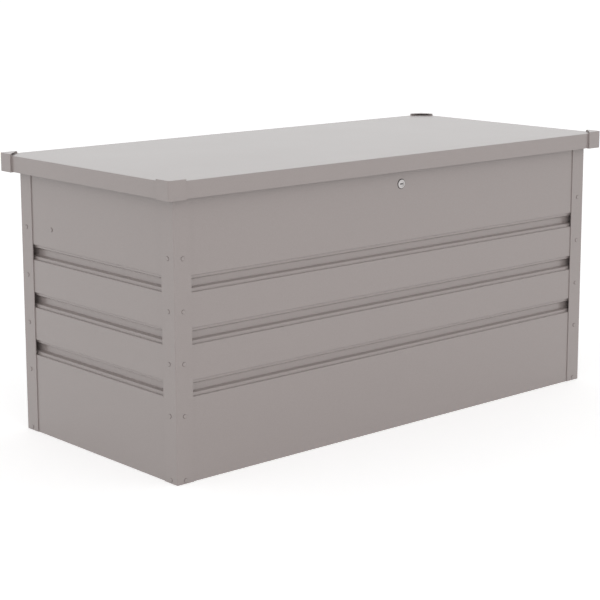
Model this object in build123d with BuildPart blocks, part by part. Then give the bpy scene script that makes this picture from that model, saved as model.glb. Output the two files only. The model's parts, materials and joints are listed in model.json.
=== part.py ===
from build123d import *
import math
import os

os.makedirs("parts", exist_ok=True)

# Deck storage box in folded sheet steel. Four grooved wall panels are bolted behind four
# corner posts, a ribbed floor tray stands on runners inside them, and a lid on three rear
# hinges is held open by two gas struts and shut by a cam lock.
# The ground is z = 0, the front with the lock faces -Y, and the origin is under the middle
# of the body; the lid reaches further out at the back than at the front.

# Body
body_length = 1242.0          # over the corner posts, along X
body_depth = 548.0            # over the corner posts, along Y
body_height = 604.0           # ground to the top of the panels' rim
sheet = 1.0                   # steel sheet of the panels, the floor and the lid
inner_bend = 0.5              # inside radius of a fold in that sheet
panel_gap = 0.5               # free space where two panels pass each other at a corner
rim_flange = 15.0             # rim folded inwards along the top of each panel
rim_return = 8.0              # edge of that rim, folded down again

# Grooves pressed along every panel: face, shallow lip, floor, shallow lip, face
groove_count = 3
groove_pitch = 105.8
groove_drop = 184.1           # rim to the upper edge of the highest groove
lip_depth = 5.0
groove_depth = 14.0
step_rise = 1.0               # height of the slope from the face to a lip
lower_lip = 6.2
lower_ledge = 2.4             # height of the slope from the lower lip to the groove floor
groove_floor = 13.8
upper_ledge = 4.0             # height of the slope from the groove floor to the upper lip
upper_lip = 5.5

# Corner posts
post_sheet = 2.0
post_leg = 42.0
post_bend = 2.5               # outside radius of the post's corner

# Cup-head bolts and flange nuts
bolt_radius = 2.5
bolt_play = 0.15              # radial room in a bolt hole
bolt_tip = 1.0                # bolt end beyond its nut on the thickest grip
bolt_point = 0.3              # chamfer at a bolt's end
head_radius = 4.1
head_height = 1.5
head_round = 1.2
nut_flats = 8.0
nut_height = 4.0
nut_flange = 1.0
nut_flange_radius = 5.4
thread_play = 0.05
screw_edge = 21.0             # post bolts, in from the post's corner
screw_rise = 36.5             # post bolts, above each groove
foot_screw_height = 7.0       # lowest post bolts, above the ground

# Floor tray and its runners
floor_height = 20.0           # ground to the top of the floor
tray_lift = 1.0               # ground to the lower edge of the tray's rim
bead_count = 4
bead_width = 36.0
bead_height = 4.0
bead_taper = 30.0             # degrees off upright
bead_end_margin = 118.0       # tray's end to the end of a bead
bead_side_margin = 80.0       # tray's side to the middle of the outer beads
runner_sheet = 1.5
runner_margin = 218.0         # tray's end to the middle of an outer runner
runner_width = 44.0
runner_flange = 14.0

# Lid
lid_overhang_end = 25.0       # lid beyond the posts, along X
lid_overhang_front = 22.0
lid_overhang_back = 28.0      # room for the hinges' knuckles inside the skirt
lid_skirt = 35.0
lid_gap = 7.0                 # panel rim to the underside of the closed lid
lid_bend = 2.0                # outside radius along the lid's top edges
stiffener_margin = 266.0      # lid's end to the middle of an outer stiffener
stiffener_width = 36.0
stiffener_flange = 14.0
stiffener_height = 18.0
stiffener_gap = 15.0          # stiffener end to the body's rim

# Lid corner caps
cap_leg = 42.0
cap_stand = 4.0               # cap face, proud of the skirt
cap_plate = 1.0               # triangular plate over the corner
cap_rise = 3.0                # lid top to the underside of that plate
cap_round = 6.0               # plan radius of the cap's corner
cap_edge = 0.7                # rounding of the cap's top edge
cap_lip = 1.0                 # lip under the skirt
cap_clip = 1.5                # clip behind the skirt
cap_clip_height = 6.0

# Rubber bumpers on the rim
bumper_inset = 61.0           # bumper, in from the post's end face
bumper_radius = 6.0
bumper_stem = 2.4
bumper_bulb = 3.8
bumper_bulb_height = 4.0
rest_gap = 0.3                # running gap between parts that move past each other

# Rear hinges
hinge_count = 3
hinge_margin = 191.0          # post's end face to the middle of an outer hinge
hinge_width = 80.0
hinge_sheet = 2.0
hinge_bend = 1.0
barrel_radius = 4.5
pin_radius = 2.5
pin_play = 0.05
pin_head_radius = 3.6
pin_head = 1.2
knuckles = 5
hinge_drop = 5.0              # hinge axis, below the skirt's lower edge
hinge_plate = 47.0            # height of the leaf on the back panel
hinge_bolt_drop = 27.0        # leaf bolts, below the hinge axis
hinge_bolt_spacing = 50.0
lid_leaf_height = 24.0
rivet_radius = 1.6
rivet_head_radius = 3.2
rivet_head = 1.2
rivet_round = 0.9

# Cam lock
lock_drop = 58.0              # lock's axis, below the rim
bezel_radius = 10.0
bezel = 1.8
bezel_round = 1.0
lock_body_radius = 8.0
lock_body = 18.0              # housing behind the panel's face
lock_nut_flats = 20.0
lock_nut = 3.5
plug_radius = 6.0
plug_recess = 0.8
plug_play = 0.05
key_slot = 8.8
key_slot_width = 2.6
key_slot_depth = 10.0
tang = 6.0                    # square end of the plug
cam_sheet = 2.0
cam_half_width = 7.0
cam_reach = 38.0
cam_screw_radius = 2.0
cam_screw_head_radius = 5.0
cam_screw_head = 2.5
cam_screw_length = 7.0
strike_sheet = 2.0
strike_width = 24.0
strike_offset = 28.0          # middle of the strike, to the right of the lock
strike_gap = 5.5              # cam to the strike's upright
strike_play = 1.0             # locked cam to the strike's foot
strike_lap = 0.8              # foot, in front of the cam
strike_flange = 20.0

# Gas struts
strut_anchor_run = 137.5      # lower pivot, in front of the hinge axis
strut_anchor_drop = 143.0     # lower pivot, below the rim
strut_lid_run = 396.5         # upper pivot, in front of the hinge axis
strut_lid_drop = 19.0         # upper pivot, below the lid's underside
strut_inset = 28.0            # strut's middle, in from the end panel
strut_bolt_radius = 3.0
strut_head_radius = 4.4
strut_head_height = 1.7
strut_washer = 0.8
strut_nut_flats = 10.0
strut_nut = 5.0
spacer_radius = 6.0
eye_radius = 8.0
eye_width = 10.0
eye_neck = 4.5
eye_offset = 20.0             # eye centre to the tube or the rod
tube_radius = 9.0
tube_wall = 1.0
tube_round = 0.8              # rounding of the tube's closed ends
tube_base = 3.0
gland = 8.0
rod_radius = 4.0
rod_showing = 6.0             # bare rod on the closed strut
piston = 10.0
piston_play = 0.1
piston_standoff = 7.0         # piston to the tube's base on the closed strut
stud_flange = 2.0
stud_flange_radius = 6.0
stud_clip = 1.5
bracket_sheet = 2.0
bracket_width = 30.0
bracket_flange = 20.0
bracket_round = 10.0

# Planes and heights that the pieces share
post_x = body_length / 2
post_y = body_depth / 2
panel_x = post_x - post_sheet
panel_y = post_y - post_sheet
lid_x = post_x + lid_overhang_end
lid_front = post_y + lid_overhang_front
lid_back = post_y + lid_overhang_back
lid_depth = lid_front + lid_back
lid_middle = (lid_back - lid_front) / 2
lid_under = body_height + lid_gap
lid_top = lid_under + sheet
lock_height = body_height - lock_drop
skirt_edge = lid_top - lid_skirt
outer_bend = inner_bend + sheet
bolt_hole = bolt_radius + bolt_play
groove_height = 2 * step_rise + lower_lip + lower_ledge + groove_floor + upper_ledge + upper_lip
lowest_groove = body_height - groove_drop - groove_height - (groove_count - 1) * groove_pitch
groove_half = panel_x - groove_depth - sheet - panel_gap      # grooves of the front and back
corner_room = max(post_bend - post_sheet, sheet) + rest_gap   # clear of the post's bend and the next panel
up = Vector(0, 0, 1)
outward = {
    "front": Vector(0, -1, 0),
    "back": Vector(0, 1, 0),
    "left": Vector(-1, 0, 0),
    "right": Vector(1, 0, 0),
}
corners = {
    "front_left": (-1, -1),
    "front_right": (1, -1),
    "back_left": (-1, 1),
    "back_right": (1, 1),
}
ends = {"left": -1, "right": 1}


def panel_distance(side):
    """Distance from the middle of the box to the outer face of a wall panel."""
    return panel_x if side in ends else panel_y


def panel_half(side):
    """Half the length of a wall panel, whose ends stop short of the post and the next panel."""
    return (panel_y if side in ends else panel_x) - corner_room


def wall_seat(side, across, height, standoff=0.0):
    """Plane on a wall, its normal outwards: `across` the wall, `standoff` out of its face."""
    normal = outward[side]
    sideways = Vector(abs(normal.Y), abs(normal.X), 0)
    place = normal * (panel_distance(side) + standoff) + sideways * across + up * height
    return Plane(origin=place, x_dir=up.cross(normal), z_dir=normal)


def wall_section(side):
    """Plane across a wall: x runs into the box from the panel's face, y runs up."""
    normal = outward[side]
    return Plane(origin=normal * panel_distance(side), x_dir=-normal, z_dir=up.cross(normal))


def folded_strip(points, radii, thickness, side):
    """Section of folded sheet: a rounded outline and its parallel on one side of it."""
    with BuildSketch() as section:
        with BuildLine():
            outline = FilletPolyline(*points, radius=radii)
            offset(outline, amount=thickness, side=side)
        make_face()
    return section.sketch


def hat_section(width, height, flange, thickness):
    """Section of a hat channel: crown down on y = 0, flanges up at y = height."""
    half = width / 2
    shelf = height - thickness
    points = [
        (-half - flange, shelf), (-half, shelf), (-half, 0),
        (half, 0), (half, shelf), (half + flange, shelf),
    ]
    outer = inner_bend + thickness
    return folded_strip(points, [inner_bend, outer, outer, inner_bend], thickness, Side.LEFT)


def cup_bolt(shank_radius, length, cap_radius, cap_height, cap_round):
    """Bolt with a rounded cup head: the head stands on z = 0, the shank points down."""
    with BuildPart() as bolt:
        Cylinder(cap_radius, cap_height, align=(Align.CENTER, Align.CENTER, Align.MIN))
        fillet(bolt.edges().group_by(Axis.Z)[-1], radius=cap_round)
        Cylinder(shank_radius, length, align=(Align.CENTER, Align.CENTER, Align.MAX))
        chamfer(bolt.edges().group_by(Axis.Z)[0], length=bolt_point)
    return bolt.part


def flange_nut(flats, height, bore, flange_radius, flange_height):
    """Hexagon nut on a round flange: it lies under z = 0."""
    with BuildPart() as nut:
        with BuildSketch():
            RegularPolygon(flats / 2, 6, major_radius=False)
            Circle(bore, mode=Mode.SUBTRACT)
        extrude(amount=-height)
        if flange_height > 0:
            with BuildSketch():
                Circle(flange_radius)
                Circle(bore, mode=Mode.SUBTRACT)
            extrude(amount=-flange_height)
    return nut.part


def corner_square(corner, reach_x, reach_y, leg, mode=Mode.ADD):
    """Square in the open sketch, its outer corner `reach` from the middle of the box."""
    side_x, side_y = corners[corner]
    with Locations((side_x * (reach_x - leg / 2), side_y * (reach_y - leg / 2))):
        Rectangle(leg, leg, mode=mode)


def write(part, name):
    """Label a finished piece and write its STEP file."""
    part.label = name
    export_step(part, f"parts/{name}.step")


# ---------------------------------------------------------------------------
# Wall panels: one section, folded along its whole length, grooves, rim and all
# ---------------------------------------------------------------------------
panel_points = [(0, 0)]
panel_radii = []
groove_levels = [lowest_groove + index * groove_pitch for index in range(groove_count)]
for level in groove_levels:
    for depth, rise, radius in (
        (0, 0, outer_bend),
        (lip_depth, step_rise, inner_bend),
        (lip_depth, lower_lip, outer_bend),
        (groove_depth, lower_ledge, inner_bend),
        (groove_depth, groove_floor, inner_bend),
        (lip_depth, upper_ledge, outer_bend),
        (lip_depth, upper_lip, inner_bend),
        (0, step_rise, outer_bend),
    ):
        level += rise
        panel_points.append((depth, level))
        panel_radii.append(radius)
panel_points += [(0, body_height), (rim_flange, body_height), (rim_flange, body_height - rim_return)]
panel_radii += [outer_bend, outer_bend]
panel_section = folded_strip(panel_points, panel_radii, sheet, Side.RIGHT)

# Post bolts: a row above each groove, one row below the lowest and one at the foot
screw_rows = [foot_screw_height] + [
    lowest_groove + groove_height + screw_rise + index * groove_pitch
    for index in range(-1, groove_count)
]
screw_across = {
    "front": post_x - screw_edge,
    "back": post_x - screw_edge,
    "left": post_y - screw_edge,
    "right": post_y - screw_edge,
}
screw_places = [
    (side, sign * screw_across[side], height)
    for side in outward
    for sign in (-1, 1)
    for height in screw_rows
]
hinge_reach = post_x - hinge_margin
hinge_places = [
    hinge_reach * (2 * index / (hinge_count - 1) - 1) for index in range(hinge_count)
]
skirt_inside = lid_back - sheet
hinge_y = skirt_inside - barrel_radius
hinge_z = skirt_edge - hinge_drop
strut_anchor_y = hinge_y - strut_anchor_run
strut_anchor_z = body_height - strut_anchor_drop
strut_lid_y = hinge_y - strut_lid_run
hinge_bolt_places = [
    (place + sign * hinge_bolt_spacing / 2, hinge_z - hinge_bolt_drop)
    for place in hinge_places
    for sign in (-1, 1)
]
bumper_places = [
    (side_x * (post_x - bumper_inset), side_y * (panel_y - rim_flange / 2))
    for side_x, side_y in corners.values()
]
# Holes of each panel beside its post bolts: across, height and radius
own_holes = {
    "front": [(0, lock_height, lock_body_radius + bolt_play)],
    "back": [(across, height, bolt_hole) for across, height in hinge_bolt_places],
    "left": [(strut_anchor_y, strut_anchor_z, strut_bolt_radius + bolt_play)],
    "right": [(strut_anchor_y, strut_anchor_z, strut_bolt_radius + bolt_play)],
}
hole_reach = 4 * sheet
rim_end = panel_y - rim_flange - panel_gap

for side in outward:
    with BuildPart() as panel:
        with BuildSketch(wall_section(side)):
            add(panel_section)
        extrude(amount=panel_half(side), both=True)
        for wall, across, height in screw_places:
            if wall == side:
                with Locations(wall_seat(side, across, height)):
                    Hole(bolt_hole, depth=hole_reach)
        for across, height, radius in own_holes[side]:
            with Locations(wall_seat(side, across, height)):
                Hole(radius, depth=hole_reach)
        if side in ends:
            # The end panels' rims stop short of the front and back rims
            with BuildSketch(Plane.XY.offset(body_height - rim_return)):
                for sign in (-1, 1):
                    middle_x = ends[side] * (panel_x - sheet - rim_flange / 2)
                    with Locations((middle_x, sign * (rim_end + rim_flange))):
                        Rectangle(rim_flange, 2 * rim_flange)
            extrude(amount=rim_return, mode=Mode.SUBTRACT)
        else:
            # The long panels' grooves stop clear of the end panels' grooves
            for level in groove_levels:
                for sign in (-1, 1):
                    with BuildSketch(wall_seat(side, sign * panel_x, level + groove_height / 2)):
                        Rectangle(2 * (panel_x - groove_half), groove_height + 2 * outer_bend)
                    extrude(amount=-(groove_depth + sheet), mode=Mode.SUBTRACT)
            # Holes in the rim for the bumpers' stems
            with Locations(*[
                (x, y, body_height) for x, y in bumper_places if y * outward[side].Y > 0
            ]):
                Hole(bumper_stem + thread_play, depth=2 * sheet)
    write(panel.part, f"{side}_panel")

# ---------------------------------------------------------------------------
# Corner posts: angles that lie over the panels' ends
# ---------------------------------------------------------------------------
for corner, (side_x, side_y) in corners.items():
    with BuildPart() as post:
        with BuildSketch():
            corner_square(corner, post_x, post_y, post_leg)
            fillet(vertices().sort_by_distance((0, 0, 0))[-1], radius=post_bend)
            corner_square(corner, panel_x, panel_y, post_leg - post_sheet, Mode.SUBTRACT)
            inner_corner = vertices().sort_by_distance((side_x * panel_x, side_y * panel_y, 0))[0]
            fillet(inner_corner, radius=post_bend - post_sheet)
        extrude(amount=body_height)
        for side, across, height in screw_places:
            on_leg = across * (side_y if side in ends else side_x) > 0
            this_post = outward[side].X * side_x > 0 or outward[side].Y * side_y > 0
            if on_leg and this_post:
                with Locations(wall_seat(side, across, height, post_sheet)):
                    Hole(bolt_hole, depth=2 * post_sheet)
    write(post.part, f"corner_post_{corner}")

# Bolts and nuts that hold the panels and the tray's rim to the posts
post_bolt_length = post_sheet + 2 * sheet + nut_height + bolt_tip
bolt = cup_bolt(bolt_radius, post_bolt_length, head_radius, head_height, head_round)
nut = flange_nut(nut_flats, nut_height, bolt_radius + thread_play, nut_flange_radius, nut_flange)
with BuildPart() as post_bolts:
    with Locations(*[wall_seat(*place, post_sheet) for place in screw_places]):
        add(bolt)
write(post_bolts.part, "post_bolts")

with BuildPart() as post_nuts:
    with Locations(*[
        wall_seat(side, across, height, -2 * sheet if height == foot_screw_height else -sheet)
        for side, across, height in screw_places
    ]):
        add(nut)
write(post_nuts.part, "post_nuts")

# ---------------------------------------------------------------------------
# Floor: a tray with a turned-down rim and pressed beads, on three hat runners
# ---------------------------------------------------------------------------
tray_x = panel_x - sheet
tray_y = panel_y - sheet
tray_depth = floor_height - tray_lift
bead_pitch = 2 * (tray_y - bead_side_margin) / (bead_count - 1)
bead_length = 2 * (tray_x - bead_end_margin)
slope = math.radians(bead_taper)
bead_wall = sheet * (1 / math.cos(slope) - math.tan(slope))
with BuildPart() as floor_tray:
    with BuildSketch(Plane.XY.offset(tray_lift)):
        Rectangle(2 * tray_x, 2 * tray_y)
    extrude(amount=tray_depth)
    fillet(floor_tray.faces().sort_by(Axis.Z)[-1].edges(), radius=outer_bend)
    with BuildSketch(Plane.XY.offset(floor_height)):
        with GridLocations(0, bead_pitch, 1, bead_count):
            SlotOverall(bead_length, bead_width)
    extrude(amount=bead_height, taper=bead_taper)
    with BuildSketch(Plane.XY.offset(tray_lift)):
        Rectangle(2 * (tray_x - sheet), 2 * (tray_y - sheet))
    extrude(amount=tray_depth - sheet, mode=Mode.SUBTRACT)
    with BuildSketch(Plane.XY.offset(floor_height - sheet)):
        with GridLocations(0, bead_pitch, 1, bead_count):
            SlotOverall(bead_length - 2 * bead_wall, bead_width - 2 * bead_wall)
    extrude(amount=bead_height, taper=bead_taper, mode=Mode.SUBTRACT)
    with Locations(*[
        wall_seat(*place, -sheet) for place in screw_places if place[2] == foot_screw_height
    ]):
        Hole(bolt_hole, depth=hole_reach)
write(floor_tray.part, "floor_tray")

runner_height = floor_height - sheet
runner_section = hat_section(runner_width, runner_height, runner_flange, runner_sheet)
runner_reach = tray_x - runner_margin
for name, place in (("left", -runner_reach), ("middle", 0), ("right", runner_reach)):
    with BuildPart() as runner:
        with BuildSketch(Plane(origin=(place, 0, 0), x_dir=(1, 0, 0), z_dir=(0, -1, 0))):
            add(runner_section)
        extrude(amount=tray_y - sheet - panel_gap, both=True)
    write(runner.part, f"floor_runner_{name}")

# Rubber bumpers: a pad on the rim, a stem through it and a bulb that holds it from below
with BuildPart() as bumper:
    with BuildSketch(Plane.XZ):
        with BuildLine():
            Polyline(
                (0, lid_gap - rest_gap), (bumper_radius, lid_gap - rest_gap), (bumper_radius, 0),
                (bumper_stem, 0), (bumper_stem, -sheet), (bumper_bulb, -sheet),
                (bumper_stem, -sheet - bumper_bulb_height), (0, -sheet - bumper_bulb_height),
                close=True,
            )
        make_face()
    revolve(axis=Axis.Z)

with BuildPart() as rim_bumpers:
    with Locations(*[(x, y, body_height) for x, y in bumper_places]):
        add(bumper.part)
write(rim_bumpers.part, "rim_bumpers")

# ---------------------------------------------------------------------------
# Hinges: a cranked leaf on the back panel, a flat leaf inside the lid's skirt, one pin
# ---------------------------------------------------------------------------
hinge_bolt_seats = [
    wall_seat("back", across, height, post_sheet) for across, height in hinge_bolt_places
]
knuckle_pitch = hinge_width / knuckles
knuckle_length = knuckle_pitch - rest_gap
knuckle_places = [(index - (knuckles - 1) / 2) * knuckle_pitch for index in range(knuckles)]
shelf_z = hinge_z - barrel_radius
crank_end = hinge_y - barrel_radius - 2 * rest_gap
body_leaf_points = [(post_y, shelf_z - hinge_plate), (post_y, shelf_z), (crank_end, shelf_z)]
body_leaf_section = folded_strip(body_leaf_points, hinge_bend, hinge_sheet, Side.LEFT)
lid_leaf_foot = skirt_edge + panel_gap
leaf_y = skirt_inside - hinge_sheet / 2
rivet_height = lid_leaf_foot + lid_leaf_height / 2
rivet_seats = [
    Plane(origin=(place + sign * hinge_bolt_spacing / 2, lid_back, rivet_height), z_dir=(0, 1, 0))
    for place in hinge_places
    for sign in (-1, 1)
]

for index, place in enumerate(hinge_places):
    with BuildPart() as body_leaf:
        with BuildSketch(Plane.YZ.offset(place)):
            add(body_leaf_section)
        extrude(amount=hinge_width / 2, both=True)
        for knuckle in knuckle_places[::2]:
            with BuildSketch(Plane.YZ.offset(place + knuckle)):
                with Locations(((crank_end + hinge_y) / 2, shelf_z + hinge_sheet / 2)):
                    Rectangle(hinge_y - crank_end, hinge_sheet)
                with Locations((hinge_y, hinge_z)):
                    Circle(barrel_radius)
                    Circle(pin_radius + pin_play, mode=Mode.SUBTRACT)
            extrude(amount=knuckle_length / 2, both=True)
        with Locations(*hinge_bolt_seats[2 * index:2 * index + 2]):
            Hole(bolt_hole, depth=2 * hinge_sheet)
    write(body_leaf.part, f"hinge_body_leaf_{index + 1}")

    with BuildPart() as lid_leaf:
        with BuildSketch(Plane.YZ.offset(place)):
            with Locations((leaf_y, rivet_height)):
                Rectangle(hinge_sheet, lid_leaf_height)
        extrude(amount=hinge_width / 2, both=True)
        for knuckle in knuckle_places[1::2]:
            with BuildSketch(Plane.YZ.offset(place + knuckle)):
                with Locations((leaf_y, (hinge_z + lid_leaf_foot) / 2)):
                    Rectangle(hinge_sheet, lid_leaf_foot - hinge_z)
                with Locations((hinge_y, hinge_z)):
                    Circle(barrel_radius)
                    Circle(pin_radius + pin_play, mode=Mode.SUBTRACT)
            extrude(amount=knuckle_length / 2, both=True)
        with Locations(*rivet_seats[2 * index:2 * index + 2]):
            Hole(rivet_radius, depth=2 * hinge_sheet)
    write(lid_leaf.part, f"hinge_lid_leaf_{index + 1}")

with BuildPart() as hinge_pins:
    for place in hinge_places:
        with BuildSketch(Plane.YZ.offset(place)):
            with Locations((hinge_y, hinge_z)):
                Circle(pin_radius)
        extrude(amount=hinge_width / 2 + pin_head, both=True)
        for sign in (-1, 1):
            with BuildSketch(Plane.YZ.offset(place + sign * hinge_width / 2)):
                with Locations((hinge_y, hinge_z)):
                    Circle(pin_head_radius)
            extrude(amount=sign * pin_head)
write(hinge_pins.part, "hinge_pins")

hinge_bolt_length = hinge_sheet + sheet + nut_height + bolt_tip
hinge_bolt = cup_bolt(bolt_radius, hinge_bolt_length, head_radius, head_height, head_round)
with BuildPart() as hinge_bolts:
    with Locations(*hinge_bolt_seats):
        add(hinge_bolt)
write(hinge_bolts.part, "hinge_bolts")

with BuildPart() as hinge_nuts:
    with Locations(*[seat.offset(-post_sheet - sheet) for seat in hinge_bolt_seats]):
        add(nut)
write(hinge_nuts.part, "hinge_nuts")

# Rivets through the skirt and the lid leaves, with a head at each end
rivet_grip = sheet + hinge_sheet
with BuildPart() as rivet:
    Cylinder(rivet_radius, rivet_grip, align=(Align.CENTER, Align.CENTER, Align.MAX))
    Cylinder(rivet_head_radius, rivet_head, align=(Align.CENTER, Align.CENTER, Align.MIN))
    fillet(rivet.edges().group_by(Axis.Z)[-1], radius=rivet_round)
    with Locations((0, 0, -rivet_grip)):
        Cylinder(rivet_head_radius, rivet_head, align=(Align.CENTER, Align.CENTER, Align.MAX))
with BuildPart() as hinge_rivets:
    with Locations(*rivet_seats):
        add(rivet.part)
write(hinge_rivets.part, "hinge_rivets")

# ---------------------------------------------------------------------------
# Lid: a shallow pan of sheet, three stiffeners under it and a cap on each corner
# ---------------------------------------------------------------------------
with BuildPart() as lid_hollow:
    with BuildSketch(Plane.XY.offset(skirt_edge)):
        with Locations((0, lid_middle)):
            Rectangle(2 * (lid_x - sheet), lid_depth - 2 * sheet)
    extrude(amount=lid_skirt - sheet)
    fillet(lid_hollow.faces().sort_by(Axis.Z)[-1].edges(), radius=lid_bend - sheet)
with BuildPart() as lid_panel:
    with BuildSketch(Plane.XY.offset(skirt_edge)):
        with Locations((0, lid_middle)):
            Rectangle(2 * lid_x, lid_depth)
    extrude(amount=lid_skirt)
    fillet(lid_panel.faces().sort_by(Axis.Z)[-1].edges(), radius=lid_bend)
    add(lid_hollow.part, mode=Mode.SUBTRACT)
    with Locations(*rivet_seats):
        Hole(rivet_radius, depth=2 * sheet)
write(lid_panel.part, "lid_panel")

stiffener_half = panel_y - rim_flange - stiffener_gap
stiffener_section = hat_section(stiffener_width, stiffener_height, stiffener_flange, sheet)
stiffener_foot = lid_under - stiffener_height
stiffener_reach = lid_x - stiffener_margin
for name, place in (("left", -stiffener_reach), ("middle", 0), ("right", stiffener_reach)):
    with BuildPart() as stiffener:
        with BuildSketch(Plane(origin=(place, 0, stiffener_foot), x_dir=(1, 0, 0), z_dir=(0, -1, 0))):
            add(stiffener_section)
        extrude(amount=stiffener_half, both=True)
    write(stiffener.part, f"lid_stiffener_{name}")

cap_x = lid_x + cap_stand
cap_foot = skirt_edge - cap_lip
plate_z = lid_top + cap_rise
cap_seat = cap_leg - cap_stand          # length of the skirt that a leg covers
hook_in = sheet + rest_gap              # skirt's outer face to the clip behind it
clip_in = hook_in + cap_clip
for corner, (side_x, side_y) in corners.items():
    lid_y = lid_back if side_y > 0 else lid_front
    cap_y = lid_y + cap_stand
    with BuildPart() as cap:
        # Two legs that stand on the skirt, joined by a rounded corner
        with BuildSketch(Plane.XY.offset(cap_foot)):
            corner_square(corner, cap_x, cap_y, cap_leg)
            fillet(vertices().sort_by_distance((0, 0, 0))[-1], radius=cap_round)
            corner_square(corner, lid_x, lid_y, cap_seat, Mode.SUBTRACT)
        extrude(amount=plate_z - cap_foot)
        # Triangular plate over the corner, clear of the lid
        with BuildSketch(Plane.XY.offset(plate_z)):
            with BuildLine():
                Polyline(
                    (side_x * (cap_x - cap_leg), side_y * cap_y),
                    (side_x * cap_x, side_y * cap_y),
                    (side_x * cap_x, side_y * (cap_y - cap_leg)),
                    close=True,
                )
            make_face()
            fillet(vertices().sort_by_distance((0, 0, 0))[-1], radius=cap_round)
        extrude(amount=cap_plate)
        # Lip under the skirt and a clip behind it
        with BuildSketch(Plane.XY.offset(cap_foot)):
            corner_square(corner, lid_x, lid_y, cap_seat)
            corner_square(corner, lid_x - clip_in, lid_y - clip_in, cap_seat - clip_in, Mode.SUBTRACT)
        extrude(amount=cap_lip)
        with BuildSketch(Plane.XY.offset(skirt_edge)):
            corner_square(corner, lid_x - hook_in, lid_y - hook_in, cap_seat - hook_in)
            corner_square(corner, lid_x - clip_in, lid_y - clip_in, cap_seat - clip_in, Mode.SUBTRACT)
        extrude(amount=cap_clip_height)
        top = cap.faces().sort_by(Axis.Z)[-1]
        rim_edges = top.edges().sort_by_distance((0, 0, top.center().Z))[1:]
        fillet(rim_edges, radius=cap_edge)
    write(cap.part, f"corner_cap_{corner}")

# ---------------------------------------------------------------------------
# Cam lock in the front panel and its strike under the lid
# ---------------------------------------------------------------------------
lock_seat = wall_seat("front", 0, lock_height)
cam_seat = wall_seat("front", 0, lock_height, -lock_body - rest_gap)
cam_screw_seat = Plane(origin=cam_seat.offset(-cam_sheet).origin, z_dir=-cam_seat.z_dir)
cam_back = lock_body + rest_gap + cam_sheet
with BuildPart() as lock_housing:
    with BuildSketch(lock_seat):
        Circle(bezel_radius)
    extrude(amount=bezel)
    fillet(lock_housing.edges().sort_by(Axis.Y)[0], radius=bezel_round)
    with BuildSketch(lock_seat):
        Circle(lock_body_radius)
    extrude(amount=-lock_body)
    with Locations(lock_seat):
        Hole(plug_radius + plug_play)
write(lock_housing.part, "lock_housing")

lock_nut_part = flange_nut(lock_nut_flats, lock_nut, lock_body_radius + thread_play, 0, 0)
with BuildPart() as lock_ring:
    with Locations(wall_seat("front", 0, lock_height, -sheet)):
        add(lock_nut_part)
write(lock_ring.part, "lock_nut")

with BuildPart() as lock_plug:
    with BuildSketch(lock_seat.offset(bezel - plug_recess)):
        Circle(plug_radius)
    extrude(amount=-(bezel - plug_recess + lock_body + rest_gap))
    with BuildSketch(lock_seat.offset(bezel - plug_recess)):
        Rectangle(key_slot, key_slot_width)
    extrude(amount=-key_slot_depth, mode=Mode.SUBTRACT)
    with BuildSketch(cam_seat):
        Rectangle(tang, tang)
    extrude(amount=-cam_sheet)
    with Locations(cam_screw_seat):
        Hole(cam_screw_radius + thread_play, depth=cam_screw_length + rest_gap)
write(lock_plug.part, "lock_plug")

with BuildPart() as lock_cam:
    with BuildSketch(cam_seat):
        with Locations((0, (cam_reach - cam_half_width) / 2)):
            SlotOverall(cam_reach + cam_half_width, 2 * cam_half_width, rotation=90)
        Rectangle(tang + 2 * plug_play, tang + 2 * plug_play, mode=Mode.SUBTRACT)
    extrude(amount=-cam_sheet)
write(lock_cam.part, "lock_cam")

cam_screw_body = cup_bolt(
    cam_screw_radius, cam_screw_length, cam_screw_head_radius, cam_screw_head, head_round
)
with BuildPart() as cam_screw:
    with Locations(cam_screw_seat):
        add(cam_screw_body)
write(cam_screw.part, "lock_cam_screw")

strike_face = -(panel_y - cam_back - strike_gap)
foot_front = -(panel_y - lock_body - rest_gap + strike_lap)
foot_top = lock_height - cam_half_width - strike_play
flange_under = lid_under - strike_sheet
strike_section = folded_strip(
    [
        (foot_front, foot_top), (strike_face, foot_top),
        (strike_face, flange_under), (strike_face - strike_flange, flange_under),
    ],
    inner_bend, strike_sheet, Side.RIGHT,
)
with BuildPart() as strike:
    with BuildSketch(Plane.YZ.offset(strike_offset)):
        add(strike_section)
    extrude(amount=strike_width / 2, both=True)
write(strike.part, "lock_strike")

# ---------------------------------------------------------------------------
# Gas struts: tube on the end panel, rod to the lid, drawn along the closed strut
# ---------------------------------------------------------------------------
strut_x = panel_x - sheet - strut_inset
pivot_z = lid_under - strut_lid_drop
rise_y = strut_lid_y - strut_anchor_y
rise_z = pivot_z - strut_anchor_z
strut_length = math.hypot(rise_y, rise_z)
tube_length = strut_length - 2 * eye_offset - rod_showing
spacer_length = strut_inset - eye_width / 2 - rest_gap
strut_grip = sheet + strut_inset + eye_width / 2 + rest_gap + strut_washer
strut_bolt_length = strut_grip + strut_nut + bolt_tip
strut_seats = [wall_seat(side, strut_anchor_y, strut_anchor_z) for side in ends]

strut_bolt = cup_bolt(
    strut_bolt_radius, strut_bolt_length, strut_head_radius, strut_head_height, head_round
)
with BuildPart() as strut_bolts:
    with Locations(*strut_seats):
        add(strut_bolt)
write(strut_bolts.part, "strut_bolts")

strut_nut_part = flange_nut(
    strut_nut_flats, strut_nut + strut_washer, strut_bolt_radius + thread_play,
    spacer_radius, strut_washer,
)
with BuildPart() as strut_nuts:
    with Locations(*[seat.offset(strut_washer - strut_grip) for seat in strut_seats]):
        add(strut_nut_part)
write(strut_nuts.part, "strut_nuts")

with BuildPart() as strut_spacers:
    for seat in strut_seats:
        with BuildSketch(seat.offset(-sheet)):
            Circle(spacer_radius)
            Circle(strut_bolt_radius + thread_play, mode=Mode.SUBTRACT)
        extrude(amount=-spacer_length)
write(strut_spacers.part, "strut_spacers")


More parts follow.
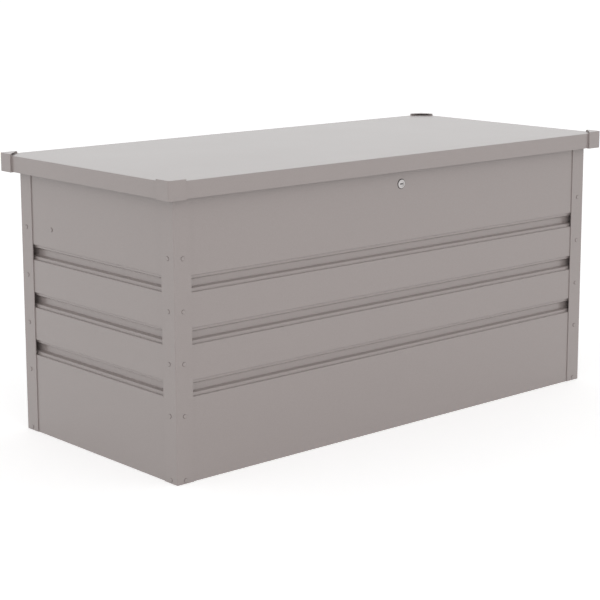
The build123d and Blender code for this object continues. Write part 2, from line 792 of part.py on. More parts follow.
def strut_eye(seat, turn):
    """Ring on a cross pin at the seat's origin, its neck along +Z, or -Z for turn = -1."""
    ring = Plane(origin=seat.origin, x_dir=seat.z_dir, z_dir=seat.x_dir)
    with BuildPart() as eye:
        with BuildSketch(seat):
            Circle(eye_neck)
        extrude(amount=turn * eye_offset)
        with BuildSketch(ring):
            Circle(eye_radius)
        extrude(amount=eye_width / 2, both=True)
        with BuildSketch(ring):
            Circle(strut_bolt_radius + pin_play)
        extrude(amount=eye_radius, both=True, mode=Mode.SUBTRACT)
    return eye.part


along = Vector(0, rise_y, rise_z) / strut_length
rod_foot = eye_offset + tube_base + piston_standoff
rod_end = strut_length - eye_offset
bore = tube_radius - tube_wall
stud_reach = eye_width / 2 + stud_flange
plate_face = strut_x - stud_reach - rest_gap
plate_depth = strut_lid_drop + bracket_round
for side, sign in ends.items():
    foot = Plane(origin=(sign * strut_x, strut_anchor_y, strut_anchor_z), x_dir=(1, 0, 0), z_dir=along)
    head = foot.offset(strut_length)

    with BuildPart() as tube:
        with BuildSketch(foot.offset(eye_offset)):
            Circle(tube_radius)
        extrude(amount=tube_length)
        fillet(tube.edges().filter_by(GeomType.CIRCLE), radius=tube_round)
        with BuildSketch(foot.offset(eye_offset + tube_base)):
            Circle(bore)
        extrude(amount=tube_length - tube_base - gland, mode=Mode.SUBTRACT)
        with BuildSketch(foot.offset(eye_offset + tube_length)):
            Circle(rod_radius + pin_play)
        extrude(amount=-gland, mode=Mode.SUBTRACT)
    write(tube.part, f"strut_tube_{side}")

    with BuildPart() as rod:
        with BuildSketch(foot.offset(rod_foot)):
            Circle(rod_radius)
        extrude(amount=rod_end - rod_foot)
        with BuildSketch(foot.offset(rod_foot)):
            Circle(bore - piston_play)
        extrude(amount=piston)
    write(rod.part, f"strut_rod_{side}")

    write(strut_eye(foot, 1), f"strut_lower_eye_{side}")
    write(strut_eye(head, -1), f"strut_upper_eye_{side}")

    # Stud through the upper eye: its flange stands just clear of the lid's bracket
    inwards = Plane(origin=head.origin, x_dir=along, z_dir=(-sign, 0, 0))
    with BuildPart() as stud:
        with BuildSketch(inwards.offset(-eye_width / 2 - stud_clip)):
            Circle(strut_bolt_radius)
        extrude(amount=stud_reach + eye_width / 2 + stud_clip)
        with BuildSketch(inwards.offset(eye_width / 2)):
            Circle(stud_flange_radius)
        extrude(amount=stud_flange)
        with BuildSketch(inwards.offset(-eye_width / 2)):
            Circle(strut_head_radius)
        extrude(amount=-stud_clip)
    write(stud.part, f"strut_stud_{side}")

    # Bracket welded under the lid: an upright plate beside the stud, and a flange
    upright = Plane(
        origin=(sign * plate_face, strut_lid_y, lid_under), x_dir=(0, sign, 0), z_dir=(-sign, 0, 0)
    )
    with BuildPart() as bracket:
        with BuildSketch(upright):
            with Locations((0, plate_depth / 2)):
                Rectangle(bracket_width, plate_depth)
        extrude(amount=bracket_sheet)
        fillet(bracket.edges().filter_by(Axis.X).group_by(Axis.Z)[0], radius=bracket_round)
        with BuildSketch(Plane.XY.offset(lid_under)):
            with Locations((sign * (plate_face - bracket_flange / 2), strut_lid_y)):
                Rectangle(bracket_flange, bracket_width)
        extrude(amount=-bracket_sheet)
    write(bracket.part, f"strut_bracket_{side}")
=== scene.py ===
import json
import math

import bmesh
import bpy
import numpy as np
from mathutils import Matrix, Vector


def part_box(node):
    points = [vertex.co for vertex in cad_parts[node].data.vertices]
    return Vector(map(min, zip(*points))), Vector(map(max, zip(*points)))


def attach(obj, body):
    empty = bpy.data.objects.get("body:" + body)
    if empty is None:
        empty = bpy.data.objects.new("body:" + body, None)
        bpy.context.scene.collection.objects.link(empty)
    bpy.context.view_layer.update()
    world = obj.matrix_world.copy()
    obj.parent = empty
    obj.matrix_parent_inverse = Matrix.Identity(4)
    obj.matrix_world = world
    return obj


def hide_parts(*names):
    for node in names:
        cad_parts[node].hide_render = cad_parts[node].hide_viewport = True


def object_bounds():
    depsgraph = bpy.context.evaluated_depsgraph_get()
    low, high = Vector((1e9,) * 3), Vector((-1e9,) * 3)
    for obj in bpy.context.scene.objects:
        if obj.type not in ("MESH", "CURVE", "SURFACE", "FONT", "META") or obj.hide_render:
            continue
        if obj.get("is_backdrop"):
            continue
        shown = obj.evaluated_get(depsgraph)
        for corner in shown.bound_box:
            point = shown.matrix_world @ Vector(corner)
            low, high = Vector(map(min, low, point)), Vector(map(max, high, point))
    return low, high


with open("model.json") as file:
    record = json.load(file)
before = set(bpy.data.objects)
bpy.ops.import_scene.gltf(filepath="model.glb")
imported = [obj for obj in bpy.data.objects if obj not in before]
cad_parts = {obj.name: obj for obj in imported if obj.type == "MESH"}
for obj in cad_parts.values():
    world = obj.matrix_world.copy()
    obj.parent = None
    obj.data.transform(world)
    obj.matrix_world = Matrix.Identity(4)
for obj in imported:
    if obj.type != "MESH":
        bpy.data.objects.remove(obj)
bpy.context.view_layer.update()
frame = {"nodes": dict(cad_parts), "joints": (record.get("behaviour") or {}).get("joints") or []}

# ---------------------------------------------------------------------------
# Camera
# A long lens a little above the lid, turned towards the near front corner, with the
# lens shifted so that the whole box fits.
# ---------------------------------------------------------------------------
camera = bpy.data.objects.new("camera", bpy.data.cameras.new("camera"))
camera.data.sensor_width = 36.0
camera.data.lens = 99.645
camera.data.shift_x = -0.03858
camera.data.shift_y = -0.0997
camera.location = (-2.5294, -2.8093, 1.055)
camera.rotation_euler = (math.radians(90 - 10.038), 0, math.radians(-42.193))
bpy.context.scene.collection.objects.link(camera)
bpy.context.scene.camera = camera
bpy.context.scene.view_settings.view_transform = "Standard"

# ---------------------------------------------------------------------------
# Studio
# A white sweep all round, brightest at the horizon so that ledges which look up stay dim,
# a broad soft lamp in front and a pale floor that takes the box's shadow.
# ---------------------------------------------------------------------------
sky_low = 1.38                # strength of the sweep's light on the box at the horizon
sky_high = 0.34               # and overhead
sky_seen = 1.0                # and as the camera and gloss see it
lamp_power = 34.0             # watts
lamp_width = 3.0              # metres
lamp_place = (-2.0, -5.6, 1.3)
lamp_aim = (0, 0, 0.3)
floor_tone = (0.94, 0.94, 0.94, 1)
floor_glow = 0.45             # white that the floor adds of its own, which keeps its shadow pale
floor_reach = 40.0            # metres, half its width
white = (1, 1, 1, 1)


def add_node(tree, kind, inputs=None, **settings):
    """New shader node: settings are its own properties, inputs its sockets by name or number."""
    node = tree.nodes.new("ShaderNode" + kind)
    for name, value in settings.items():
        setattr(node, name, value)
    for name, value in (inputs or {}).items():
        if isinstance(value, bpy.types.NodeSocket):
            tree.links.new(value, node.inputs[name])
        else:
            node.inputs[name].default_value = value
    return node


def maths(tree, operation, *values):
    """Result of a Math node."""
    return add_node(tree, "Math", dict(enumerate(values)), operation=operation).outputs[0]


def seen_directly(tree):
    """1 on rays from the camera, from gloss and through glass, 0 on rays that light things."""
    rays = add_node(tree, "LightPath").outputs
    mirrored = maths(tree, "MAXIMUM", rays["Is Camera Ray"], rays["Is Glossy Ray"])
    return maths(tree, "MAXIMUM", mirrored, rays["Is Transmission Ray"])


world = bpy.data.worlds.new("sweep")
world.use_nodes = True
tree = world.node_tree
tree.nodes.clear()
towards = add_node(tree, "TexCoord").outputs["Generated"]
rise = add_node(tree, "SeparateXYZ", {"Vector": towards}).outputs["Z"]
light = add_node(tree, "MapRange", {"Value": rise, "To Min": sky_low, "To Max": sky_high})
seen = seen_directly(tree)
strength = add_node(tree, "Mix", {"Factor": seen, "A": light.outputs[0], "B": sky_seen})
sky = add_node(tree, "Background", {"Color": white, "Strength": strength.outputs[0]})
add_node(tree, "OutputWorld", {"Surface": sky.outputs[0]})
bpy.context.scene.world = world

lamp = bpy.data.objects.new("softbox", bpy.data.lights.new("softbox", "AREA"))
lamp.data.energy = lamp_power
lamp.data.size = lamp_width
lamp.visible_camera = False
lamp.visible_glossy = False
lamp.location = lamp_place
lamp.rotation_euler = (Vector(lamp_aim) - lamp.location).to_track_quat("-Z", "Y").to_euler()
bpy.context.scene.collection.objects.link(lamp)

floor_mesh = bpy.data.meshes.new("floor")
floor_mesh.from_pydata(
    [(x * floor_reach, y * floor_reach, 0) for x, y in ((-1, -1), (1, -1), (1, 1), (-1, 1))],
    [],
    [(0, 1, 2, 3)],
)
floor = bpy.data.objects.new("floor", floor_mesh)
bpy.context.scene.collection.objects.link(floor)
floor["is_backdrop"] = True
floor_material = bpy.data.materials.new("pale_floor")
floor_material.use_nodes = True
tree = floor_material.node_tree
tree.nodes.clear()
matt = add_node(tree, "BsdfDiffuse", {"Color": floor_tone})
glow = maths(tree, "MULTIPLY", seen_directly(tree), floor_glow)
glow = add_node(tree, "Emission", {"Color": white, "Strength": glow})
both = add_node(tree, "AddShader", {0: matt.outputs[0], 1: glow.outputs[0]})
add_node(tree, "OutputMaterial", {"Surface": both.outputs[0]})
floor_mesh.materials.append(floor_material)

# ---------------------------------------------------------------------------
# Wall panels
# Steel sheet with three pressed grooves, bolted behind the corner posts and powder coated
# in a warm taupe grey. The coat has a fine orange peel and a satin sheen, and its tone
# drifts by a percent or so. Painted shade darkens the peel's hollows and painted light
# pales its crests.
# ---------------------------------------------------------------------------
coat_tone = (0.335, 0.292, 0.281, 1)
coat_roughness = 0.32
coat_gloss = 0.44             # clear resin at the surface of the powder coat
gloss_roughness = 0.12
coat_drift = 0.03             # share of the tone that it drifts by over the noise's whole range
roughness_drift = 0.06
cloud_scale = 5.0             # waves per metre of the drift
cloud_detail = 3.0            # finer octaves on top of them
peel_scale = 450.0            # orange peel
peel_detail = 1.0
peel_depth = 0.00005          # metres
# Painted shade and light: the peel's hollows are coloured darker and its crests paler.
peel_painted_shade = 0.10             # how much paler the crests of the peel are than its hollows
grit_scale = 2600.0           # grain on top of the peel
grit_detail = 0.0
grit_share = 0.35             # its height as a share of the peel's
noise_mean = 0.5
nodes = frame["nodes"]


def noise(tree, place, scale, detail):
    """Grey noise, with so many waves per metre and so many finer octaves on top."""
    inputs = {"Vector": place, "Scale": scale, "Detail": detail}
    return add_node(tree, "TexNoise", inputs).outputs["Fac"]


def new_group(name, inputs, outputs):
    """Empty shader node group with float or colour sockets, and its two ends' sockets."""
    tree = bpy.data.node_groups.new(name, "ShaderNodeTree")
    for label, value in inputs.items():
        kind = "NodeSocketColor" if isinstance(value, tuple) else "NodeSocketFloat"
        tree.interface.new_socket(label, in_out="INPUT", socket_type=kind).default_value = value
    for label, kind in outputs.items():
        tree.interface.new_socket(label, in_out="OUTPUT", socket_type="NodeSocket" + kind)
    return tree, tree.nodes.new("NodeGroupInput").outputs, tree.nodes.new("NodeGroupOutput").inputs


def dressed(name, skin, values, bump_depth):
    """Material whose colour, roughness and bump come from one skin group with its values."""
    material = bpy.data.materials.new(name)
    material.use_nodes = True
    tree = material.node_tree
    shader = tree.nodes["Principled BSDF"]
    surface = add_node(tree, "Group", node_tree=skin)
    for label, value in values.items():
        surface.inputs[label].default_value = value
    bump = add_node(tree, "Bump", {"Height": surface.outputs["Height"], "Distance": bump_depth})
    bump.inputs["Strength"].default_value = 1.0
    tree.links.new(surface.outputs["Color"], shader.inputs["Base Color"])
    tree.links.new(surface.outputs["Roughness"], shader.inputs["Roughness"])
    tree.links.new(bump.outputs["Normal"], shader.inputs["Normal"])
    return material, shader.inputs


def finish(material, *names):
    """Gives a material to every slot of the named CAD nodes."""
    for name in names:
        for slot in nodes[name].material_slots:
            slot.material = material


powder, given, made = new_group(
    "powder_coat",
    {"Tone": coat_tone, "Drift": coat_drift, "Roughness": coat_roughness},
    {"Color": "Color", "Roughness": "Float", "Height": "Float"},
)
place = add_node(powder, "TexCoord").outputs["Object"]
cloud = noise(powder, place, cloud_scale, cloud_detail)
peel = noise(powder, place, peel_scale, peel_detail)
grit = noise(powder, place, grit_scale, grit_detail)
swing = maths(powder, "SUBTRACT", cloud, noise_mean)
crest = maths(powder, "SUBTRACT", peel, noise_mean)
shade = maths(powder, "MULTIPLY_ADD", swing, given["Drift"], 1.0)
# Painted shade and light on the orange peel: the tone is scaled down in its hollows and up on its
# crests.
shade = maths(powder, "MULTIPLY_ADD", crest, peel_painted_shade, shade)
tone = add_node(powder, "VectorMath", {0: given["Tone"], "Scale": shade}, operation="SCALE")
dull = maths(powder, "MULTIPLY_ADD", swing, roughness_drift, given["Roughness"])
powder.links.new(tone.outputs[0], made["Color"])
powder.links.new(dull, made["Roughness"])
powder.links.new(maths(powder, "MULTIPLY_ADD", grit, grit_share, peel), made["Height"])


def coated_steel(name, tone=coat_tone, roughness=coat_roughness, drift=coat_drift, gloss=coat_gloss):
    """Powder-coated or painted steel."""
    values = {"Tone": tone, "Drift": drift, "Roughness": roughness}
    material, sockets = dressed(name, powder, values, peel_depth)
    sockets["Coat Weight"].default_value = gloss
    sockets["Coat Roughness"].default_value = gloss_roughness
    return material


panel_coat = coated_steel("panel_coat")
finish(panel_coat, "front_panel", "back_panel", "left_panel", "right_panel")

# ---------------------------------------------------------------------------
# Corner posts
# Angles of thicker sheet, folded sharp, that lap over the panels' ends and are bolted to
# them. Their coat drifts less in tone than the wide panels' does.
# ---------------------------------------------------------------------------
corners = ("front_left", "front_right", "back_left", "back_right")
post_coat = coated_steel("post_coat", drift=0.02)
finish(post_coat, *[f"corner_post_{corner}" for corner in corners])

# ---------------------------------------------------------------------------
# Bolts, nuts and sealing washers of the posts
# Coated M5 cup heads outside, each on a thin dark washer whose colour is painted shade round
# the head, and zinc-plated flange nuts inside.
# ---------------------------------------------------------------------------
zinc_tone = (0.60, 0.61, 0.63, 1)
straw_tone = (0.66, 0.62, 0.52, 1)
zinc_roughness = 0.30
patch_scale = 60.0            # waves per metre of the straw tint
patch_detail = 4.0
patch_edge = (0.42, 0.68)     # noise at which the tint sets in and is full
spangle_scale = 240.0
spangle_dulling = 0.14        # roughness that the spangles add
line_scale = 2400.0           # across the drawing lines
line_run = 60.0               # along them
line_detail = 2.0
line_dulling = 0.10
line_depth = 0.00001          # metres
rubber_scale = 1800.0         # waves per metre of the mottle on rubber and nylon
rubber_detail = 3.0
rubber_roughness = (0.55, 0.80)
rubber_depth = 0.00002        # metres
steep = 0.9                   # upward share of an axis past which it counts as upright
weld_together = 1e-7          # metres, points closer than this are one
same_place = 6                # decimals of a metre to which joined points of a CAD mesh agree
post_head = 0.0015            # metres, height of the post bolts' and hinge bolts' heads
washer_lap = 0.0006           # metres, beyond the head's edge
washer_height = 0.0005
washer_round = washer_height / 3
washer_steps = 16

zinc, given, made = new_group(
    "zinc_plating",
    {"Tone": zinc_tone, "Tint": straw_tone, "Roughness": zinc_roughness},
    {"Color": "Color", "Roughness": "Float", "Height": "Float"},
)
place = add_node(zinc, "TexCoord").outputs["Object"]
patch = noise(zinc, place, patch_scale, patch_detail)
spangle = add_node(zinc, "TexVoronoi", {"Vector": place, "Scale": spangle_scale}).outputs["Distance"]
drawn = add_node(zinc, "Mapping", {"Vector": place, "Scale": (line_run, line_scale, line_scale)})
lines = noise(zinc, drawn.outputs["Vector"], 1.0, line_detail)
onset, full = patch_edge
stain = add_node(zinc, "MapRange", {"Value": patch, "From Min": onset, "From Max": full})
tints = {"Factor": stain.outputs[0], "A": given["Tone"], "B": given["Tint"]}
tone = add_node(zinc, "Mix", tints, data_type="RGBA")
dull = maths(zinc, "MULTIPLY_ADD", spangle, spangle_dulling, given["Roughness"])
dull = maths(zinc, "MULTIPLY_ADD", lines, line_dulling, dull)
zinc.links.new(tone.outputs["Result"], made["Color"])
zinc.links.new(dull, made["Roughness"])
zinc.links.new(lines, made["Height"])


def plated_steel(name, tone=zinc_tone, tint=straw_tone, roughness=zinc_roughness):
    """Zinc-plated, nickel-plated or chromed steel."""
    values = {"Tone": tone, "Tint": tint, "Roughness": roughness}
    material, sockets = dressed(name, zinc, values, line_depth)
    sockets["Metallic"].default_value = 1.0
    return material


def rubbery(name, dark, pale):
    """Black rubber or nylon: a fine mottle between two greys, duller where it is paler."""
    material = bpy.data.materials.new(name)
    material.use_nodes = True
    tree = material.node_tree
    shader = tree.nodes["Principled BSDF"]
    place = add_node(tree, "TexCoord").outputs["Object"]
    grain = noise(tree, place, rubber_scale, rubber_detail)
    tone = add_node(tree, "Mix", {"Factor": grain, "A": dark, "B": pale}, data_type="RGBA")
    smooth, rough = rubber_roughness
    dull = add_node(tree, "MapRange", {"Value": grain, "To Min": smooth, "To Max": rough})
    bump = add_node(tree, "Bump", {"Height": grain, "Distance": rubber_depth})
    tree.links.new(tone.outputs["Result"], shader.inputs["Base Color"])
    tree.links.new(dull.outputs[0], shader.inputs["Roughness"])
    tree.links.new(bump.outputs["Normal"], shader.inputs["Normal"])
    return material


def ring_faces(count, steps):
    """Quads between rings of `steps` points each, the last of the `count` rings joined to the
    first: point j of ring i meets point j of ring i + 1 and the next points along both."""
    ring = np.arange(count)[:, None]
    step = np.arange(steps)[None, :]
    here, there = ring * steps, (ring + 1) % count * steps
    around = (step + 1) % steps
    return np.stack([here + step, there + step, there + around, here + around], axis=-1).reshape(-1, 4)


def turned(profile, seats, steps):
    """Surfaces of revolution: on each seat (origin, axis) a profile point (r, h) sweeps the ring
    origin + h axis + r (cos a side + sin a up), and the profile's loop closes on itself."""
    profile = np.array(profile)
    angle = np.arange(steps) * 2 * np.pi / steps
    patch = ring_faces(len(profile), steps)
    points, faces = [], []
    for index, (origin, axis) in enumerate(seats):
        axis = np.array(axis) / np.linalg.norm(axis)
        side = np.cross(axis, (0, 0, 1) if abs(axis[2]) < steep else (1, 0, 0))
        side /= np.linalg.norm(side)
        up = np.cross(axis, side)
        circle = np.cos(angle)[:, None] * side + np.sin(angle)[:, None] * up
        body = profile[:, 0, None, None] * circle + profile[:, 1, None, None] * axis
        points.append((np.array(origin) + body).reshape(-1, 3))
        faces.append(patch + index * len(profile) * steps)
    return np.concatenate(points), np.concatenate(faces)


def new_piece(name, surface, material, body, smooth_angle=40.0):
    """Mesh of points and faces, its poles merged and normals outwards, that rides on a body."""
    points, faces = surface
    mesh = bpy.data.meshes.new(name)
    mesh.from_pydata(points.tolist(), [], faces.tolist())
    shell = bmesh.new()
    shell.from_mesh(mesh)
    bmesh.ops.remove_doubles(shell, verts=shell.verts, dist=weld_together)
    bmesh.ops.recalc_face_normals(shell, faces=shell.faces)
    shell.to_mesh(mesh)
    shell.free()
    mesh.shade_smooth()
    mesh.set_sharp_from_angle(angle=math.radians(smooth_angle))
    mesh.materials.append(material)
    piece = bpy.data.objects.new(name, mesh)
    bpy.context.scene.collection.objects.link(piece)
    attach(piece, body)
    return piece


def points_of(mesh):
    """All points of a mesh as one array."""
    points = np.empty(len(mesh.vertices) * 3, np.float32)
    mesh.vertices.foreach_get("co", points)
    return points.reshape(-1, 3).astype(float)


def solids_of(name):
    """Middle of the box round each separate solid of a CAD node, and that box's size. Points at
    one place count as one, and each takes the lowest number that an edge brings it, until
    every point of a solid has that solid's number."""
    mesh = nodes[name].data
    points = points_of(mesh)
    edges = np.empty(len(mesh.edges) * 2, np.int32)
    mesh.edges.foreach_get("vertices", edges)
    _, first, place = np.unique(
        points.round(same_place), axis=0, return_index=True, return_inverse=True
    )
    place = place.ravel()
    start, end = place[edges.reshape(-1, 2)].T
    solid, before = first.copy(), None
    while not np.array_equal(solid, before):
        before = solid.copy()
        np.minimum.at(solid, start, before[end])
        np.minimum.at(solid, end, before[start])
    solid = solid[place]
    found = [points[solid == number] for number in np.unique(solid)]
    return [((spots.min(0) + spots.max(0)) / 2, spots.max(0) - spots.min(0)) for spots in found]


def bolt_washers(name, bolts, head_height):
    """Rings round the bolts' heads, seated on the face that each bolt's head presses on; their dark
    colour is painted shade.
    """
    seats = []
    for middle, size in solids_of(bolts):
        along = int(np.argmax(size))
        axis = np.zeros(3)
        axis[along] = np.sign(middle[along])
        seats.append((middle + axis * (size[along] / 2 - head_height), axis))
        head_radius = min(np.delete(size, along)) / 2
    inner = head_radius - washer_round
    outer = head_radius + washer_lap
    profile = [
        (inner, 0),
        (outer, 0),
        (outer, washer_height - washer_round),
        (outer - washer_round, washer_height),
        (inner, washer_height),
    ]
    surface = turned(profile, seats, washer_steps)
    return new_piece(name, surface, washer_painted_shade, "box_body")


# Painted shade: the washers take a darker copy of the coat's taupe, standing in for the shadow round
# the bolt heads.
washer_painted_shade = rubbery("washer_painted_shade", (0.150, 0.131, 0.126, 1), (0.220, 0.192, 0.185, 1))
zinc_steel = plated_steel("zinc_steel")
finish(coated_steel("bolt_coat", drift=0.0), "post_bolts", "hinge_bolts", "strut_bolts")
finish(zinc_steel, "post_nuts", "hinge_nuts", "strut_nuts")
bolt_washers("post_bolt_washers", "post_bolts", post_head)

# ---------------------------------------------------------------------------
# Floor tray and runners
# Sheet with four long beads, spot welded to three hat-section runners, in a duller coat
# because nothing polishes the inside.
# ---------------------------------------------------------------------------
floor_coat = coated_steel("floor_coat", roughness=0.46, gloss=0.12)
finish(floor_coat, "floor_tray", "floor_runner_left", "floor_runner_middle", "floor_runner_right")

# ---------------------------------------------------------------------------
# Rubber bumpers
# Soft black buttons that the lid closes on: a crowned pad on the rim, a stem through it
# and a rounded bulb that snaps in below.
# ---------------------------------------------------------------------------
bumper_squareness = 0.45      # below 1 the pad's crown is flatter and its shoulder squarer
bumper_stem = 0.0024          # metres, radius
bumper_bulb = 0.0038
bumper_steps = 28
crown_steps = 13
rim_sheet = 0.001
black_rubber = rubbery("black_rubber", (0.016, 0.016, 0.016, 1), (0.045, 0.045, 0.044, 1))
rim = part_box("front_panel")[1][2]
bumpers = solids_of("rim_bumpers")
middle, size = bumpers[0]
pad_height = middle[2] + size[2] / 2 - rim
bulb_height = rim - rim_sheet - (middle[2] - size[2] / 2)
# Pad: r = R sin^k t, h = H cos^k t, from the crown down to the rim as t goes from 0 to 90
# degrees. Bulb: r = B cos t, h = -sheet - D sin t, from the rim's underside to its tip.
crown = np.linspace(0, np.pi / 2, crown_steps)
arc = np.stack([np.sin(crown), np.cos(crown)], axis=-1)
pad = (size[0] / 2, pad_height) * arc**bumper_squareness
stem = [(bumper_stem, 0), (bumper_stem, -rim_sheet)]
bulb = (0, -rim_sheet) + (bumper_bulb, -bulb_height) * arc[:, ::-1]
seats = [((spot[0], spot[1], rim), (0, 0, 1)) for spot, _ in bumpers]
surface = turned(np.concatenate([pad, stem, bulb]), seats, bumper_steps)
buttons = new_piece("rubber_bumpers", surface, black_rubber, "box_body")
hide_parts("rim_bumpers")

# ---------------------------------------------------------------------------
# Rear hinges
# Coated leaves that share five rolled knuckles on a plated pin, bolted through the back
# panel and riveted to the lid's skirt.
# ---------------------------------------------------------------------------
hinge_numbers = (1, 2, 3)
hinge_coat = coated_steel("hinge_coat", roughness=0.36, drift=0.02)
finish(hinge_coat, *[f"hinge_{part}_leaf_{i}" for part in ("body", "lid") for i in hinge_numbers])
finish(zinc_steel, "hinge_pins", "hinge_rivets")
bolt_washers("hinge_bolt_washers", "hinge_bolts", post_head)

# ---------------------------------------------------------------------------
# Lid and stiffeners
# A shallow pan of sheet with a folded skirt and three hat sections spot welded under it,
# coated together. Each weld leaves a shallow dished mark on the flange.
# ---------------------------------------------------------------------------
stiffener_sheet = 0.001       # metres
stiffener_flange = 0.014
weld_radius = 0.0034
weld_ridge = 0.0005           # height of the ring that the electrode pushes up
weld_dish = 0.0001            # height of the dished middle
weld_sink = 0.0002            # below the flange, so that no edge shows
weld_middle = 0.55            # shares of the radius: edge of the dished middle
weld_crest = (0.72, 0.85)     # and the ring's flat top
weld_pitch = 0.060
weld_steps = 14
weld_smooth = 80.0            # degrees, so that the whole mark is shaded as one surface
stiffeners = [f"lid_stiffener_{place}" for place in ("left", "middle", "right")]
lid_coat = coated_steel("lid_coat", drift=0.06)
finish(lid_coat, "lid_panel", *stiffeners)


def weld_marks(name, spots):
    """Discs seen from below: a dished middle, a raised ring round it and a slope that sinks into
    the sheet."""
    profile = [
        (0, weld_dish),
        (weld_middle * weld_radius, weld_dish),
        (weld_crest[0] * weld_radius, weld_ridge),
        (weld_crest[1] * weld_radius, weld_ridge),
        (weld_radius, -weld_sink),
        (0, -weld_sink),
    ]
    surface = turned(profile, [(spot, (0, 0, -1)) for spot in spots], weld_steps)
    return new_piece(name, surface, lid_coat, "lid", smooth_angle=weld_smooth)


spots = []
for stiffener in stiffeners:
    low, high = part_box(stiffener)
    count = int((high[1] - low[1]) / weld_pitch)
    rows = (np.arange(count) + 0.5) * (high[1] - low[1]) / count + low[1]
    for x in (low[0] + stiffener_flange / 2, high[0] - stiffener_flange / 2):
        spots += [(x, y, high[2] - stiffener_sheet) for y in rows]
weld_marks("stiffener_weld_marks", spots)

# ---------------------------------------------------------------------------
# Lid corner caps
# Small coated pressings that hook over the skirt's corners, with a triangular plate
# standing clear of the lid's top.
# ---------------------------------------------------------------------------
finish(coated_steel("cap_coat"), *[f"corner_cap_{corner}" for corner in corners])

# ---------------------------------------------------------------------------
# Cam lock
# Nickel-plated zinc housing with a black rubber seal round its face that paints the shade
# round it, a turning plug with a near-black plate in its key slot that paints the shade
# inside the slot, and steel cam, screw and ring nut. The strike is welded under the lid.
# ---------------------------------------------------------------------------
seal_width = 0.0012           # metres, beyond the housing's face
seal_height = 0.0007
seal_edge = 0.6               # share of its height at which its outer edge starts to slope
seal_slope = 0.4              # share of its height that the slope comes in by
key_slot = 0.0088
key_slot_width = 0.0026
shutter_depth = 0.0003        # plug's face to the shutter's edge
shutter_dish = 0.0004
shutter_sheet = 0.0010
shutter_flat = 0.6            # share of the slot that the dish's floor takes up
slot_squareness = 8           # 2 is an ellipse, more is nearer to a rectangle
lock_steps = 48
strike_sheet = 0.002
strike_flange = 0.020
strike_welds = (0.27, 0.73)   # shares of the strike's width
lock_nickel = plated_steel(
    "lock_nickel", tone=(0.55, 0.525, 0.52, 1), tint=(0.50, 0.475, 0.47, 1), roughness=0.24
)
# Painted shade: the shutter is coloured near black, standing in for the shade inside the key slot.
shutter_painted_shade = plated_steel(
    "shutter_painted_shade", tone=(0.050, 0.046, 0.044, 1), tint=(0.035, 0.032, 0.030, 1), roughness=0.38
)
finish(lock_nickel, "lock_housing", "lock_plug")
finish(zinc_steel, "lock_nut", "lock_cam", "lock_cam_screw")
finish(lid_coat, "lock_strike")
low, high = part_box("lock_housing")
bezel_radius = (high[0] - low[0]) / 2
inner = bezel_radius - seal_height / 2
outer = bezel_radius + seal_width
profile = [
    (inner, 0),
    (outer, 0),
    (outer, seal_edge * seal_height),
    (outer - seal_slope * seal_height, seal_height),
    (inner, seal_height),
]
lock_seat = ((low[0] + high[0]) / 2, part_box("front_panel")[0][1], (low[2] + high[2]) / 2)
shade_seal = turned(profile, [(lock_seat, (0, -1, 0))], lock_steps)
# Painted shade: this black ring stands in for the shadow round the housing's face.
new_piece("lock_seal_painted_shade", shade_seal, black_rubber, "box_body")
# Shutter: rings of the rounded rectangle |x / a|^n + |z / b|^n = 1, each a share of the slot's
# size and so far behind its edge, from the middle of the dish round the rim to the back.
shares = np.array([0, shutter_flat, 1, 1, 0])[:, None]
depths = np.array([shutter_dish, shutter_dish, 0, shutter_sheet, shutter_sheet])[:, None]
turn = np.linspace(0, 2 * np.pi, lock_steps, endpoint=False)
squared = np.cos(turn) ** slot_squareness + np.sin(turn) ** slot_squareness
reach = squared ** (-1 / slot_squareness)
plug_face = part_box("lock_plug")[0][1]
flap = np.stack(
    [
        lock_seat[0] + shares * key_slot / 2 * reach * np.cos(turn),
        plug_face + shutter_depth + depths + 0 * turn,
        lock_seat[2] + shares * key_slot_width / 2 * reach * np.sin(turn),
    ],
    axis=-1,
)
flap = (flap.reshape(-1, 3), ring_faces(len(shares), lock_steps))
# The shutter's near-black colour is painted shade inside the key slot.
new_piece("key_slot_painted_shade", flap, shutter_painted_shade, "lock_barrel")
low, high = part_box("lock_strike")
spots = [
    (low[0] + share * (high[0] - low[0]), high[1] - strike_flange / 2, high[2] - strike_sheet)
    for share in strike_welds
]
weld_marks("strike_weld_marks", spots)

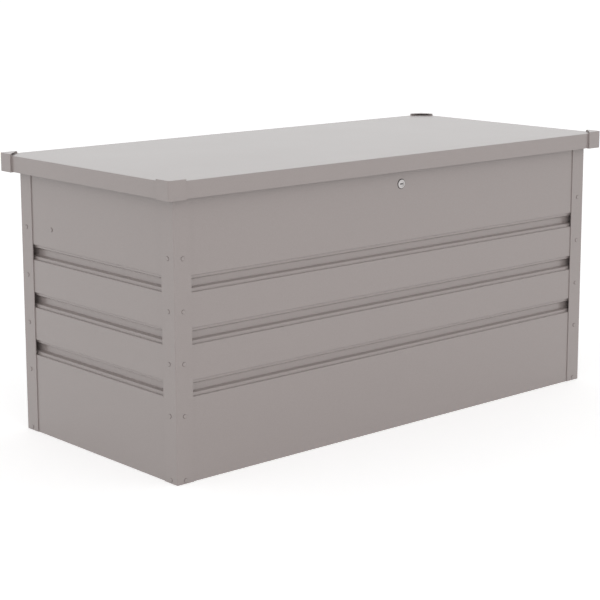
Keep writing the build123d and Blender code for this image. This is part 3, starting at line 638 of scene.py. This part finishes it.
# ---------------------------------------------------------------------------
# Gas struts
# Black painted tubes with a rubber wiper round the chromed rod, and moulded nylon eyes on
# a bolt below and a plated stud above, beside a bracket welded under the lid.
# ---------------------------------------------------------------------------
strut_head = 0.0017           # metres, height of the lower bolts' heads
wiper_radius = 0.0062
wiper_height = 0.0016
wiper_play = 0.0001
wiper_tip = 0.8               # tip's radius as a share of its foot's
wiper_steps = 40
bracket_sheet = 0.002
bracket_welds = (0.25, 0.75)  # shares of the bracket's width
ends = ("left", "right")
strut_paint = coated_steel("strut_paint", tone=(0.020, 0.020, 0.022, 1), roughness=0.26, drift=0.02)
rod_chrome = plated_steel(
    "rod_chrome", tone=(0.74, 0.74, 0.76, 1), tint=(0.70, 0.70, 0.72, 1), roughness=0.08
)
eye_nylon = rubbery("eye_nylon", (0.024, 0.024, 0.026, 1), (0.040, 0.040, 0.042, 1))
joints = {joint["name"]: joint for joint in frame["joints"]}
spots = []
for end in ends:
    finish(strut_paint, f"strut_tube_{end}")
    finish(rod_chrome, f"strut_rod_{end}")
    finish(eye_nylon, f"strut_lower_eye_{end}", f"strut_upper_eye_{end}")
    finish(zinc_steel, f"strut_stud_{end}")
    finish(lid_coat, f"strut_bracket_{end}")
    pivot = np.array(joints[f"{end}_strut_pivot"]["pos_m"])
    along = np.array(joints[f"{end}_strut_extend"]["axis"])
    tube_end = ((points_of(nodes[f"strut_tube_{end}"].data) - pivot) @ along).max()
    low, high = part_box(f"strut_rod_{end}")
    wiper_hole = (high[0] - low[0]) / 2 + wiper_play
    profile = [
        (wiper_hole, 0),
        (wiper_radius, 0),
        (wiper_radius, wiper_height / 3),
        (wiper_tip * wiper_radius, wiper_height),
        (wiper_hole, wiper_height),
    ]
    surface = turned(profile, [(pivot + along * tube_end, along)], wiper_steps)
    new_piece(f"strut_wiper_{end}", surface, black_rubber, f"{end}_strut_cylinder")
    low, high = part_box(f"strut_bracket_{end}")
    spots += [
        ((low[0] + high[0]) / 2, low[1] + share * (high[1] - low[1]), high[2] - bracket_sheet)
        for share in bracket_welds
    ]
weld_marks("bracket_weld_marks", spots)
finish(zinc_steel, "strut_spacers")
bolt_washers("strut_bolt_washers", "strut_bolts", strut_head)

low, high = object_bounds()
